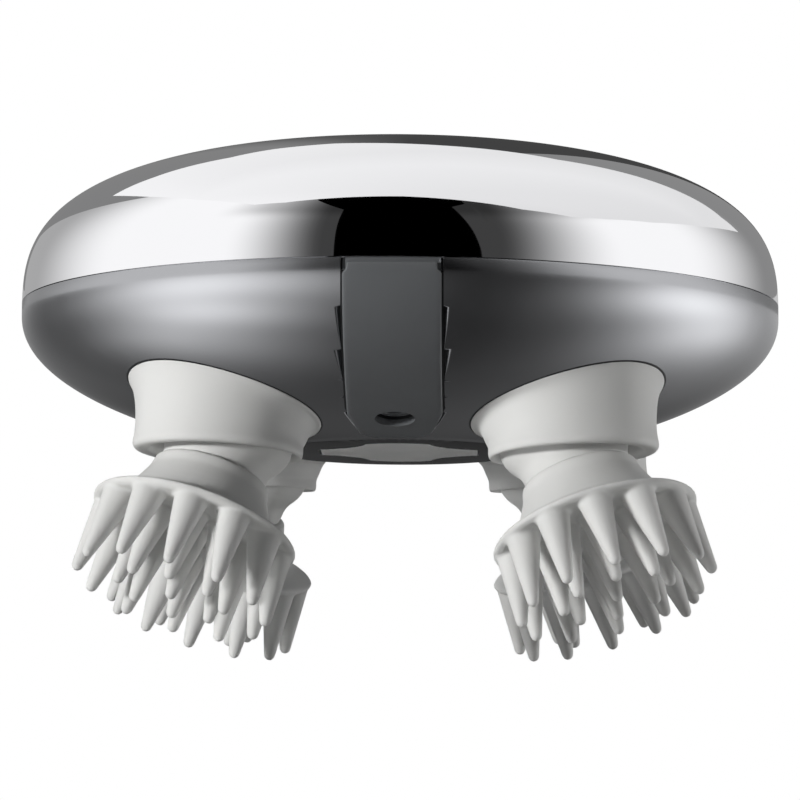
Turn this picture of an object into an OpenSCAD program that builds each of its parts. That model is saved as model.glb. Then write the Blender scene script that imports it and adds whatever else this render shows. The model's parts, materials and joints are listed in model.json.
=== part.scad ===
// Electric scalp massager: a lens-shaped body with a button on top, and four
// silicone heads below that lean outward and nutate on geared cranks.
// Z is up, the lowest tine tips stand on z = 0, and the charging strip faces -Y.

/* [Body] */
// Widest diameter of the body
body_d = 124; // [120:1:132]
// Height of the dome above the widest plane
dome_h = 27; // [26:0.5:30]
// Depth of the bowl's curve below the widest plane
bowl_h = 23.5; // [23:0.5:26]
// Height of the shell seam above the widest plane
seam_h = 2.2; // [1.8:0.1:3]
// Wall of both shells
wall = 2.2; // [2:0.1:2.6]
// How much the flat underside cuts off the bowl
flat_cut = 1.9; // [0.9:0.1:2.4]
// Height of the tongue that locks the shells together
tongue_h = 1.6; // [1:0.1:2.5]
// Height of the sealing ring in the seam
seal_h = 1; // [0.6:0.1:1.5]

/* [Star plate] */
// Reach of the star plate's front and rear arms
star_reach_y = 14.8; // [13:0.2:16]
// Reach of the star plate's side arms
star_reach_x = 12.8; // [11:0.2:14]
// Radius of the rounded ends of the front and rear arms
star_end_r = 8.2; // [7.6:0.1:9]
// Radius of the star plate's hollow corners
star_hollow_r = 10.4; // [9:0.1:11]
// Thickness of the star plate
star_t = 1; // [0.6:0.1:1.2]
// How far the star plate lies below the flat underside
star_recess = 0.7; // [0:0.1:1]

/* [Front strip and charging socket] */
// Width of the strip
strip_w = 15.6; // [13:0.2:18]
// Distance of the strip's lower end from the body axis
strip_end_r = 24.6; // [22:0.2:26]
// Thickness of the strip
strip_t = 1.2; // [0.8:0.1:1.4]
// Corner radius at the strip's lower end
strip_corner_r = 2.6; // [1:0.1:4]
// Distance from the body axis at which the strip starts to narrow
strip_taper_r = 35; // [32:0.5:38]
// How much each side of the strip narrows towards its lower end
strip_taper_w = 1.7; // [0.5:0.1:2]
// Open groove around the strip
groove = 0.25; // [0.1:0.05:0.4]
// Distance of the charging socket from the body axis
socket_at_r = 34; // [31:0.5:37]
// Outer diameter of the charging socket
socket_d = 6.1; // [5.5:0.1:7]
// Bore of the charging socket
socket_bore_d = 3.5; // [3:0.1:4]
// Depth of the socket's bore
socket_depth = 5.5; // [4:0.5:7]
// Diameter of the charging pin
charge_pin_d = 1.3; // [1:0.05:1.7]
// Diameter of the pin's tail behind the bore
pin_tail_d = 2; // [1.8:0.1:2.6]

/* [Power button] */
// Diameter of the button
button_d = 14; // [10:0.5:18]
// How far the button can be pressed
button_travel = 0.6; // [0.3:0.1:0.8]
// How far the button stands above the dome
button_proud = 0.35; // [0:0.05:1]
// Width of the ring around the button
button_ring_w = 1.3; // [0.8:0.1:2]

/* [Heads] */
// Depth of the pivots below the widest plane
pivot_depth = 23; // [22.6:0.1:24]
// Lean of the heads from upright
head_tilt = 23.5; // [20:0.5:25]
// Distance along the head's axis from the pivot to the cup's top edge
cup_top_s = 7.1; // [7:0.1:8]
// Height of the cup
cup_h = 7.1; // [6:0.1:9]
// Diameter of the cup at its top edge
cup_top_d = 18.3; // [18:0.1:19]
// Diameter of the cup where it meets the flange
cup_base_d = 24.8; // [22:0.2:27]
// Diameter of the flange
flange_d = 33.2; // [32.6:0.2:35]
// Thickness of the flange
flange_t = 2; // [1.4:0.1:3]
// Diameter of the neck where it meets the cup
neck_low_d = 16.6; // [16:0.1:17.4]
// Diameter of the neck below its shoulder
neck_top_d = 18; // [17.4:0.1:19]
// Diameter of the round shoulder that seals the neck in its boot
shoulder_d = 22; // [21.4:0.1:22.2]

/* [Tines] */
// Length of a tine from the flange
tine_l = 12; // [10:0.2:13]
// Diameter of a tine at its root
tine_root_d = 5.6; // [4.6:0.1:5.9]
// Diameter of a tine at its tip
tine_tip_d = 1.9; // [1.4:0.1:2.4]
// Tines in the outer ring
outer_tines = 12; // [10:1:12]
// Radius of the outer ring of tines
outer_ring_r = 13.6; // [13.2:0.1:13.7]
// Tines in the middle ring
middle_tines = 8; // [5:1:8]
// Radius of the middle ring of tines
middle_ring_r = 7.7; // [7.4:0.1:7.8]
// How far the outer tines lean out from the head's axis
outer_splay = 9.5; // [6:0.5:11]
// How far the middle tines lean out from the head's axis
middle_splay = 5; // [2:0.5:7]
// Turn of the outer ring from the direction in which the head leans
ring_turn = 15; // [0:0.5:30]

/* [Boots] */
// Outer diameter of a boot's rim
rim_d = 26.6; // [26:0.1:28]
// Diameter of a boot's waist
waist_d = 27.2; // [26.6:0.1:28]
// Diameter of the flare against the shell
flare_d = 30.4; // [29:0.2:32]
// Lean of a boot's rim
boot_lean = 4; // [2:0.5:5]
// Distance of the rim below the pivot
rim_drop = 1.6; // [1.4:0.1:1.8]
// Outer diameter of the boot's sleeve in the shell
boot_sleeve_d = 25; // [24.6:0.1:25.2]

/* [Gear train] */
// Clearance between the output gears and the lower shell
gear_gap = 1.55; // [0.5:0.05:2]
// Teeth of the drive gear
drive_teeth = 56; // [56:1:56]
// Teeth of each output gear
output_teeth = 40; // [40:1:40]
// Face width of the gears
gear_w = 5; // [4:0.5:5.2]
// Backlash between meshing teeth
backlash = 0.3; // [0.2:0.02:0.4]
// Diameter of the gear shafts
shaft_d = 6; // [5:0.2:7]
// Outer diameter of the output bearings
bearing_d = 13; // [12:0.5:15]
// Thickness of the output bearings
bearing_w = 3.8; // [3:0.1:4]
// Diameter of the crank disc
crank_d = 20; // [19:0.5:20.6]
// Thickness of the crank disc
crank_t = 3.3; // [3:0.1:3.4]
// Diameter of the leaning boss under the crank disc
boss_d = 10; // [8:0.5:11]
// Diameter of the spindles
spindle_d = 4; // [3.6:0.1:5]
// Diameter of the hub inside a head
hub_d = 14; // [12:0.5:14.4]

/* [Chassis and power] */
// Thickness of the chassis plate
chassis_t = 2; // [1.6:0.1:2.4]
// Clearance between the edge of the chassis plate and the lower shell
chassis_gap = 1.5; // [0.5:0.1:3]
// Thickness of the gear cover
cover_t = 1.6; // [1.2:0.1:2]
// Distance of the corner posts from the edge of the chassis plate
post_in = 6; // [5:0.1:8]
// Diameter of the corner posts and screw bosses
post_d = 6.4; // [5:0.2:7]
// Diameter of the motor's gearhead
gearhead_d = 28; // [24:0.5:30]
// Height of the gearhead
gearhead_h = 6.4; // [5:0.2:7]
// Diameter of the motor can
motor_d = 24; // [20:0.5:27]
// Height of the motor can
motor_h = 8; // [6:0.2:8.4]
// Diameter of a battery cell
cell_d = 14; // [12:0.5:14.5]
// Length of a battery cell
cell_l = 50; // [40:1:52]
// Distance of the battery cells from the body axis
cell_at_y = 23; // [22:0.5:25]
// Diameter of the circuit board
board_d = 54; // [50:1:60]
// Thickness of the circuit board
board_t = 1.2; // [0.8:0.1:1.6]
// Thread diameter of the long screws
screw_d = 2.4; // [2:0.1:2.8]
// Head diameter of the long screws
screw_head_d = 4.4; // [3.8:0.1:4.8]

/* [Hidden] */
$fn = 96;

// Clearances
touch = 0.02;             // between pieces that are fixed together
running = 0.05;           // between a shaft and its bore
free_gap = 0.3;           // between pieces that pass each other
cut = 1;                  // how far a cutting tool runs past a face

// Curves of the body: (r / R)^n + (z / h)^m = 1
body_r = body_d / 2;
dome_n = 2.6;
dome_m = 3.05;
bowl_n = 1.6;
bowl_m = 2.1;
curve_steps = 26;

// Heights from the widest plane
pivot_z = -pivot_depth;
flat_z = flat_cut - bowl_h;
floor_z = flat_z + wall;
chassis_top = -7;
chassis_z = chassis_top - chassis_t;
gear_z = chassis_top + 0.6;
cover_z = 0;
cover_top = cover_z + cover_t;
gearhead_top = cover_top + gearhead_h;
cell_z = cover_top + 1 + cell_d / 2;
board_top = dome_h - 7.5;
board_z = board_top - board_t;
bearing_z = chassis_top - bearing_w;
crank_top = bearing_z - 0.4;
crank_z = crank_top - crank_t;
clamp_z = chassis_z - 1.4;
base_boss_top = -13;

// Radii that the lower shell leaves room for, and the gears that fill them
chassis_r = bowl_radius(chassis_z, wall) - chassis_gap;
post_r = chassis_r - post_in;
station_r = (bowl_radius(gear_z, wall) - gear_gap)
    / (1 + (output_teeth + 2) / (drive_teeth + output_teeth));
gear_module = 2 * station_r / (drive_teeth + output_teeth);
pressure_angle = 20;

// Heads, measured along their own axis from the pivot, downward
cup_base_s = cup_top_s + cup_h;
flange_low_s = cup_base_s + flange_t;
tip_r = tine_tip_d / 2;
shoulder_r = shoulder_d / 2;
boot_ball_r = shoulder_r + free_gap;
boot_bore_r = crank_d / 2 + 0.6;
boss_low_s = -4.5;
boss_top_s = -9.5;
spindle_top_s = -11.5;
hub_top_s = boss_low_s + free_gap;
hub_low_s = cup_base_s - 0.3;
hub_step_s = 3;
hub_neck_d = spindle_d + 3;
clamp_inner_r = boot_bore_r + 0.2;
clamp_outer_r = boot_sleeve_d / 2 - 0.2;

// Centre of an outer tip's rounding, in the head's frame
tip_centre_r = outer_ring_r + (tine_l - tip_r) * sin(outer_splay);
tip_centre_s = flange_low_s + (tine_l - tip_r) * cos(outer_splay);

// Height of the widest plane above the lowest tine tips
lowest_turn = min([for (i = [0:outer_tines - 1]) abs(ring_turn + 360 * i / outer_tines - 180)]);
body_z = pivot_depth + tip_centre_s * cos(head_tilt)
    + tip_centre_r * cos(lowest_turn) * sin(head_tilt) + tip_r;

// Other small sizes
base_screw_r = 8;
star_floor_t = 3;
star_hollow_x = star_reach_x + 2.6;
star_hollow_y = star_reach_y - 0.3;
star_pocket = star_t + star_recess;
screw_head_h = 1.6;
small_screw_d = 2;
small_head_d = 3.6;
small_head_h = 0.9;
pillar_x = 19;
pillar_y = 9;
pillar_d = 4.4;
motor_screw_r = 9.5;
motor_screw_l = 3.8;
board_screw_l = 5;
switch_w = 6;
switch_h = 1.8;
plunger_d = 3;
plunger_top = board_top + 2.7;
button_flange_d = button_d + 3.2;
button_flange_t = 0.8;
button_seat_z = dome_h - wall - 0.6;
ring_depth = 0.85;
shield_depth = 0.3;
socket_slope = bowl_slope(socket_at_r);
socket_end_gap = 0.7;
socket_l = (chassis_z - socket_end_gap - bowl_level(socket_at_r, 0)
    - socket_d / 2 * sin(socket_slope)) / cos(socket_slope);
socket_proud = 0.2;
pin_recess = 0.6;
tine_root_h = 0.8;
button_gap = 0.08;
dish_r = 60;
dish_depth = 0.3;

shell_colour = "#d9dbde";
bowl_colour = "#6b6d70";
strip_colour = "#4c4e51";
silicone_colour = "#d6d6d4";
steel_colour = "#b4b7bb";
gear_colour = "#e8e4d8";

// ---- Curves ----

function dome_radius(z, inset) =
    (body_r - inset) * pow(1 - pow(z / (dome_h - inset), dome_m), 1 / dome_n);

function bowl_radius(z, inset) =
    (body_r - inset) * pow(1 - pow(-z / (bowl_h - inset), bowl_m), 1 / bowl_n);

function bowl_level(r, inset) =
    -(bowl_h - inset) * pow(1 - pow(r / (body_r - inset), bowl_n), 1 / bowl_m);

function dome_curve(inset) = [
    for (i = [1:curve_steps - 1]) let (t = 90 * i / curve_steps)
        [(body_r - inset) * pow(cos(t), 2 / dome_n), (dome_h - inset) * pow(sin(t), 2 / dome_m)]
];

function bowl_curve(inset) = [
    for (i = [curve_steps - 1:-1:1]) let (t = 90 * i / curve_steps)
        [(body_r - inset) * pow(cos(t), 2 / bowl_n), -(bowl_h - inset) * pow(sin(t), 2 / bowl_m)]
];

function bowl_slope(r) = atan((bowl_level(r + 1, 0) - bowl_level(r - 1, 0)) / 2);

// Points of an arc about [0, 0] in the head's half plane, by angle from the downward axis
function ball_arc(radius, from_angle, to_angle, steps) = [
    for (i = [0:steps]) let (a = from_angle + (to_angle - from_angle) * i / steps)
        [radius * sin(a), -radius * cos(a)]
];

// ---- Placing ----

module from_widest() translate([0, 0, body_z]) children();

module at_station(k) from_widest() rotate([0, 0, 90 * k - 45]) translate([station_r, 0, 0])
    children();

module at_pivot(k, lean) at_station(k) translate([0, 0, pivot_z]) rotate([0, -lean, 0])
    children();

module four_ways(radius) for (a = [0:90:270]) rotate([0, 0, a]) translate([radius, 0, 0])
    children();

module between(low, high, d) translate([0, 0, low]) cylinder(d = d, h = high - low);

module tube(low, high, outer, inner) difference() {
    between(low, high, outer);
    between(low - cut, high + cut, inner);
}

// Socket frame: origin on the bowl's surface, +Z into the body along its normal
module at_socket() from_widest() translate([0, -socket_at_r, bowl_level(socket_at_r, 0)])
    rotate([-socket_slope, 0, 0]) children();

// ---- Body solids ----

module dome_solid(inset) rotate_extrude() polygon(concat(
    [[0, 0], [body_r - inset, 0]], dome_curve(inset), [[0, dome_h - inset]]));

module bowl_solid(inset) rotate_extrude() polygon(concat(
    [[0, 0], [0, inset - bowl_h]], bowl_curve(inset), [[body_r - inset, 0]]));

module lower_form(inset, past = 0) {
    bowl_solid(inset);
    between(0, seam_h + past, 2 * dome_radius(seam_h, 0) - 2 * inset);
}

module strip_plan(grow) {
    half = strip_w / 2 + grow;
    narrow = half - strip_taper_w;
    end = -strip_end_r + grow;
    corner = strip_corner_r + grow;
    polygon([
        [-half, -body_d], [half, -body_d], [half, -strip_taper_r],
        for (a = [0:15:90]) [narrow - corner + corner * cos(a), end - corner + corner * sin(a)],
        for (a = [90:15:180]) [corner - narrow + corner * cos(a), end - corner + corner * sin(a)],
        [-half, -strip_taper_r]
    ]);
}

module strip_block(grow, deep) difference() {
    translate([0, 0, -bowl_h]) linear_extrude(bowl_h + seam_h + cut) strip_plan(grow);
    lower_form(deep, 2 * cut);
}

module star_plan() difference() {
    union() {
        square([2 * star_reach_x, 1.1 * star_reach_x], center = true);
        for (side = [-1, 1]) translate([0, side * (star_reach_y - star_end_r)])
            circle(r = star_end_r);
    }
    for (x = [-1, 1], y = [-1, 1])
        translate([x * star_hollow_x, y * star_hollow_y]) circle(r = star_hollow_r);
}

module upper_shell() color(shell_colour) from_widest() difference() {
    union() {
        difference() {
            dome_solid(0);
            dome_solid(wall);
            translate([0, 0, -cut]) cylinder(r = body_r + cut, h = seam_h + cut);
            between(0, seam_h + tongue_h + seal_h, body_d - wall);
        }
        intersection() {
            dome_solid(wall / 2);
            four_ways(post_r) between(cover_top, dome_h, post_d);
        }
        intersection() {
            dome_solid(wall / 2);
            between(button_seat_z, dome_h, button_flange_d + 2);
        }
    }
    four_ways(post_r) between(0, cover_top + 8, screw_d);
    between(0, dome_h + cut, button_d + 4 * button_gap);
    between(dome_h - ring_depth, dome_h + cut, button_d + 2 * button_ring_w);
}

module lower_shell() color(bowl_colour) from_widest() difference() {
    union() {
        difference() {
            lower_form(0);
            translate([0, 0, flat_z - 10]) cylinder(r = body_r, h = 10);
            difference() {
                bowl_solid(wall);
                translate([0, 0, floor_z - 10]) cylinder(r = body_r, h = 10);
            }
            between(-touch, seam_h + cut, body_d - 2 * wall);
        }
        tube(0, seam_h + tongue_h, body_d - wall - 0.2, body_d - 2 * wall);
        four_ways(base_screw_r) between(flat_z + star_floor_t / 2, base_boss_top, post_d);
        between(flat_z + wall / 2, flat_z + star_floor_t, 2 * star_reach_y + 2);
    }
    for (k = [1:4]) rotate([0, 0, 90 * k - 45]) translate([station_r, 0, 0])
        between(-bowl_h - cut, -cut, boot_sleeve_d + 2 * running);
    strip_block(groove, strip_t);
    translate([0, 0, flat_z - cut]) linear_extrude(cut + star_pocket) star_plan();
    four_ways(base_screw_r) {
        between(flat_z, base_boss_top + cut, screw_d + 0.3);
        between(flat_z, flat_z + star_pocket + screw_head_h, screw_head_d + 0.4);
    }
    translate([0, 0, -body_z]) at_socket() between(-cut, wall + 4, socket_d + 2 * touch);
}

module seam_seal() color("dimgray") from_widest()
    tube(seam_h + tongue_h, seam_h + tongue_h + seal_h, body_d - wall, body_d - 2 * wall - 0.2);

module front_strip() color(strip_colour) difference() {
    from_widest() intersection() {
        lower_form(0);
        strip_block(0, strip_t - touch);
    }
    at_socket() between(-cut, wall + 4, socket_d + 2 * touch);
}

module charge_socket() color("#2e2f31") at_socket() difference() {
    union() {
        between(-socket_proud, socket_l, socket_d);
        between(wall + 0.3, wall + 1.8, socket_d + 2.4);
    }
    between(-cut, socket_depth, socket_bore_d);
    between(0, socket_l + cut, pin_tail_d + 2 * touch);
    tube(-cut, 0, socket_d - 0.9, socket_d - 1.5);
}

module charge_pin() color("gold") at_socket() {
    translate([0, 0, pin_recess + charge_pin_d / 2]) sphere(d = charge_pin_d);
    between(pin_recess + charge_pin_d / 2, socket_depth + touch, charge_pin_d);
    between(socket_depth, socket_l + 0.5, pin_tail_d);
}

module star_plate() color(silicone_colour) from_widest()
    translate([0, 0, flat_z + star_recess]) linear_extrude(star_t) star_plan();

module screw(low, high, head_low) {
    between(low, high, screw_d - 2 * touch);
    between(head_low, low, screw_head_d);
}

module base_screws() color(steel_colour) from_widest() four_ways(base_screw_r) {
    seat = flat_z + star_pocket + screw_head_h;
    screw(seat, chassis_z + 1.5, seat - screw_head_h + 0.1);
}

module chassis_plate() color("#3c3f42") from_widest() difference() {
    union() {
        between(chassis_z, chassis_top, 2 * chassis_r);
        four_ways(post_r) between(chassis_z, cover_z, post_d);
        four_ways(base_screw_r) between(base_boss_top, chassis_top, post_d);
        rotate(45) four_ways(station_r) between(bearing_z, chassis_top, bearing_d + 3);
    }
    rotate(45) four_ways(station_r) between(bearing_z - cut, cut, bearing_d + 2 * touch);
    four_ways(post_r) between(chassis_z - cut, cut, screw_d + 0.3);
    four_ways(base_screw_r) between(base_boss_top - cut, chassis_z + 1.6, screw_d);
    between(chassis_z - cut, cut, shaft_d + 2 * running);
}

module gear_cover() color("#4a4d50") from_widest() difference() {
    union() {
        between(cover_z, cover_top, 2 * chassis_r);
        for (x = [-pillar_x, pillar_x], y = [-pillar_y, pillar_y]) translate([x, y, 0])
            between(cover_z, board_z, pillar_d);
    }
    for (x = [-pillar_x, pillar_x], y = [-pillar_y, pillar_y]) translate([x, y, 0])
        between(board_z - board_screw_l - 1, board_z + cut, small_screw_d);
    rotate(45) four_ways(station_r) between(-cut, cover_top + cut, shaft_d + 2 * running);
    four_ways(post_r) between(-cut, cover_top + cut, screw_d + 0.3);
    for (a = [0:120:240]) rotate(a) translate([motor_screw_r, 0, 0])
        between(-cut, cover_top + cut, small_screw_d + 0.2);
    between(-cut, cover_top + cut, shaft_d + 4);
}

module shell_screws() color(steel_colour) from_widest() four_ways(post_r)
    screw(chassis_z, cover_top + 7, chassis_z - screw_head_h);

module output_bearings() color("silver") from_widest() rotate(45) four_ways(station_r)
    difference() {
        between(bearing_z, chassis_top, bearing_d);
        between(bearing_z - cut, cut, shaft_d + 2 * running);
        for (low = [bearing_z - cut, chassis_top - shield_depth])
            tube(low, low + cut + shield_depth, bearing_d - 2, shaft_d + 2.4);
    }

module boot_clamps() color("#54585c") from_widest() rotate(45) four_ways(station_r)
    tube(clamp_z, chassis_z, 2 * clamp_outer_r, 2 * clamp_inner_r);

module gearhead() color("#9ea1a5") from_widest() difference() {
    between(cover_top, gearhead_top, gearhead_d);
    between(cover_top - cut, cover_top + 2.4, shaft_d + 2 * running);
    for (a = [0:120:240]) rotate(a) translate([motor_screw_r, 0, 0])
        between(cover_top - cut, cover_top + motor_screw_l + 0.2, small_screw_d);
}

module motor() color("#c0c3c7") from_widest() {
    between(gearhead_top, gearhead_top + motor_h, motor_d);
    between(gearhead_top + motor_h, gearhead_top + motor_h + 1, 8);
}

module small_screw(low, high) {
    between(low, high, small_screw_d - 2 * touch);
}

module motor_screws() color(steel_colour) from_widest() for (a = [0:120:240]) rotate(a)
    translate([motor_screw_r, 0, 0]) {
        small_screw(cover_z, cover_top + motor_screw_l);
        between(cover_z - small_head_h, cover_z, small_head_d);
    }

module battery_cradles() color("#2f3133") from_widest() for (side = [-1, 1]) difference() {
    translate([-cell_l / 2 - 1.5, side * cell_at_y - cell_d / 2 - 0.5, cover_top])
        cube([cell_l + 3, cell_d + 1, 0.45 * cell_d]);
    translate([-cell_l / 2 - touch, side * cell_at_y, cell_z]) rotate([0, 90, 0])
        cylinder(d = cell_d + 2 * touch, h = cell_l + 2 * touch);
}

module battery_cells() color("#3f78b8") from_widest() for (side = [-1, 1])
    translate([-cell_l / 2, side * cell_at_y, cell_z]) rotate([0, 90, 0]) {
        cylinder(d = cell_d, h = cell_l - 1);
        cylinder(d = cell_d / 3, h = cell_l);
    }

module circuit_board() color("#1f6b43") from_widest() difference() {
    between(board_z, board_top, board_d);
    for (x = [-pillar_x, pillar_x], y = [-pillar_y, pillar_y]) translate([x, y, 0])
        between(board_z - cut, board_top + cut, small_screw_d + 0.2);
}

module board_screws() color(steel_colour) from_widest()
    for (x = [-pillar_x, pillar_x], y = [-pillar_y, pillar_y]) translate([x, y, 0]) {
        small_screw(board_z - board_screw_l, board_top);
        between(board_top, board_top + small_head_h, small_head_d);
    }

module tact_switch() color("#26282a") from_widest() {
    translate([-switch_w / 2, -switch_w / 2, board_top]) cube([switch_w, switch_w, switch_h]);
    between(board_top + switch_h, plunger_top, plunger_d);
}

module button_ring() color("#3a3c3e") from_widest()
    tube(dome_h - ring_depth, dome_h, button_d + 2 * button_ring_w - 2 * touch,
        button_d + 2 * button_gap);

module power_button() color("#b9bbbe") from_widest() difference() {
    union() {
        between(button_seat_z - touch, dome_h + button_proud, button_d);
        between(button_seat_z - button_flange_t, button_seat_z, button_flange_d);
        between(plunger_top + button_travel + touch, button_seat_z, plunger_d + 1);
    }
    translate([0, 0, dome_h + button_proud + dish_r - dish_depth]) sphere(r = dish_r, $fn = 128);
}

// ---- Gears ----

function involute(a) = tan(a) * 180 / PI - a;

function tooth_half_angle(teeth, r) =
    let (pitch = gear_module * teeth / 2, base = pitch * cos(pressure_angle))
    90 / teeth - backlash / 4 / pitch * 180 / PI
    + involute(pressure_angle) - involute(acos(base / max(r, base)));

function tooth_points(teeth, middle) =
    let (pitch = gear_module * teeth / 2,
         levels = [pitch - 1.2 * gear_module, pitch, pitch + gear_module])
    [
        for (i = [0:2]) let (r = levels[i], a = middle - tooth_half_angle(teeth, r))
            [r * cos(a), r * sin(a)],
        for (i = [2:-1:0]) let (r = levels[i], a = middle + tooth_half_angle(teeth, r))
            [r * cos(a), r * sin(a)]
    ];

module gear(teeth, turn) translate([0, 0, gear_z]) difference() {
    linear_extrude(gear_w) polygon([
        for (i = [0:teeth - 1]) each tooth_points(teeth, turn + 360 * i / teeth)
    ]);
    translate([0, 0, -cut]) cylinder(d = shaft_d + 2 * touch, h = gear_w + 2 * cut);
    for (side = [-cut, gear_w - 1]) translate([0, 0, side])
        tube(0, 1 + cut, gear_module * teeth - 6, shaft_d + 5);
}

module drive_gear() color(gear_colour) from_widest() gear(drive_teeth, 0);

module drive_shaft() color(steel_colour) from_widest()
    between(chassis_z, cover_top + 2.2, shaft_d);

module output_gear(k) color(gear_colour) from_widest() rotate([0, 0, 90 * k - 45])
    translate([station_r, 0, 0]) gear(output_teeth, 180 / output_teeth);

module crank(k) color("#8f9398") difference() {
    union() {
        at_station(k) {
            between(crank_z, crank_top, crank_d);
            between(crank_top - touch, bearing_z, shaft_d + 2);
            between(bearing_z - touch, cover_top - 0.2, shaft_d);
        }
        at_pivot(k, head_tilt) between(-boss_low_s, -boss_top_s, boss_d);
    }
    at_pivot(k, head_tilt) between(0, -spindle_top_s + 0.1, spindle_d + 2 * running);
}

module spindle(k) color(steel_colour) at_pivot(k, head_tilt)
    between(-hub_low_s + 1, -spindle_top_s, spindle_d);

// ---- Heads ----

module head_hub(k) color("#77797c") at_pivot(k, head_tilt) difference() {
    union() {
        between(-hub_low_s, -hub_step_s, hub_d);
        between(-hub_step_s - touch, -hub_top_s, hub_neck_d);
    }
    between(-hub_low_s + 1 - touch, -hub_top_s + cut, spindle_d + 2 * touch);
}

module neck_sleeve(k) color(silicone_colour) at_pivot(k, head_tilt) rotate_extrude()
    polygon(concat(
        [[hub_d / 2 + touch, -cup_top_s], [neck_low_d / 2, -cup_top_s],
         [neck_top_d / 2, -2.2], [neck_top_d / 2 + 0.5, -0.6]],
        ball_arc(shoulder_r, 100, 114, 4),
        ball_arc(shoulder_r - 1.5, 114, 100, 2),
        [[hub_d / 2 + touch, -hub_step_s + 1]]
    ));

module tine() rotate_extrude($fn = 32) polygon([
    [0, tine_root_h], [tine_root_d / 2, tine_root_h], [tine_root_d / 2, 0],
    for (a = [80:-20:0]) [tip_r * sin(a), tip_r * (1 - cos(a)) - tine_l]
]);

module tine_ring(count, ring_r, turn, splay) for (i = [0:count - 1])
    rotate([0, 0, turn + 360 * i / count]) translate([ring_r, 0, -flange_low_s])
        rotate([0, -splay, 0]) tine();

module massage_head(k) color(silicone_colour) at_pivot(k, head_tilt) {
    difference() {
        rotate_extrude() polygon([
            [0, -flange_low_s], [flange_d / 2 - 0.3, -flange_low_s],
            [flange_d / 2, -flange_low_s + 0.5], [flange_d / 2, -flange_low_s + 1],
            [flange_d / 2 - 0.2, -cup_base_s - 0.4], [flange_d / 2 - 0.8, -cup_base_s],
            [cup_base_d / 2 + 0.8, -cup_base_s], [cup_base_d / 2 - 0.5, -cup_base_s + 1],
            [cup_top_d / 2 + 1.5, -cup_base_s + 0.45 * cup_h],
            [cup_top_d / 2 + 0.4, -cup_base_s + 0.75 * cup_h],
            [cup_top_d / 2, -cup_top_s - 0.3], [cup_top_d / 2 - 0.3, -cup_top_s], [0, -cup_top_s]
        ]);
        between(-cup_base_s, -cup_top_s + cut, hub_d + 2 * touch);
    }
    tine_ring(outer_tines, outer_ring_r, ring_turn, outer_splay);
    tine_ring(middle_tines, middle_ring_r, 0, middle_splay);
    tine_ring(1, 0, 0, 0);
}

// ---- Boots ----

module boot(k) color(silicone_colour) difference() {
    union() {
        difference() {
            union() {
                at_pivot(k, boot_lean) rotate_extrude() polygon([
                    [0, -rim_drop], [rim_d / 2 - 0.9, -rim_drop], [rim_d / 2 - 0.25, -rim_drop + 0.3],
                    [rim_d / 2, -rim_drop + 1], [rim_d / 2 - 0.1, -rim_drop + 2],
                    [waist_d / 2 - 0.2, 2.5], [waist_d / 2, 6], [waist_d / 2, 11], [0, 11]
                ]);
                at_station(k) translate([-0.8, 0, bowl_level(station_r - 0.8, 0)])
                    rotate([0, -bowl_slope(station_r), 0]) rotate_extrude() polygon([
                        [0, 4], [flare_d / 2, 4], [flare_d / 2, 0.5], [flare_d / 2 - 0.2, -0.1],
                        [flare_d / 2 - 0.8, -0.9], [waist_d / 2 + 0.35, -2.2],
                        [waist_d / 2, -4], [0, -4]
                    ]);
            }
            from_widest() lower_form(0);
        }
        at_station(k) between(pivot_z, clamp_z, boot_sleeve_d);
    }
    at_pivot(k, 0) sphere(r = boot_ball_r);
    at_pivot(k, 0) between(0, pivot_depth, 2 * boot_bore_r);
}

upper_shell();
lower_shell();
seam_seal();
front_strip();
charge_socket();
charge_pin();
star_plate();
base_screws();
chassis_plate();
gear_cover();
shell_screws();
output_bearings();
boot_clamps();
gearhead();
motor();
motor_screws();
battery_cradles();
battery_cells();
circuit_board();
board_screws();
tact_switch();
button_ring();
power_button();
drive_gear();
drive_shaft();
boot(1);  // boot_1
boot(2);  // boot_2
boot(3);  // boot_3
boot(4);  // boot_4
output_gear(1);  // output_gear_1
output_gear(2);  // output_gear_2
output_gear(3);  // output_gear_3
output_gear(4);  // output_gear_4
crank(1);  // crank_1
crank(2);  // crank_2
crank(3);  // crank_3
crank(4);  // crank_4
spindle(1);  // spindle_1
spindle(2);  // spindle_2
spindle(3);  // spindle_3
spindle(4);  // spindle_4
head_hub(1);  // head_hub_1
head_hub(2);  // head_hub_2
head_hub(3);  // head_hub_3
head_hub(4);  // head_hub_4
neck_sleeve(1);  // neck_sleeve_1
neck_sleeve(2);  // neck_sleeve_2
neck_sleeve(3);  // neck_sleeve_3
neck_sleeve(4);  // neck_sleeve_4
massage_head(1);  // massage_head_1
massage_head(2);  // massage_head_2
massage_head(3);  // massage_head_3
massage_head(4);  // massage_head_4
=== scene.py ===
# %% [markdown]
# # An electric scalp massager
# The massager is a lens-shaped body with a chrome dome above and a satin bowl below. Four silicone
# heads with soft tines lean out from under it. The construction comes in as a fixed frame of parts at
# their real size; this script gives them their finished surfaces.
#
# The frame gives places, so hardly any number here is a position. What is written out is what an eye
# needs and a drawing leaves out: edge roundings, fillets, surface finishes and the studio.

# %% Load the frame
import json
import math

import bpy
from mathutils import Matrix, Vector


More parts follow.
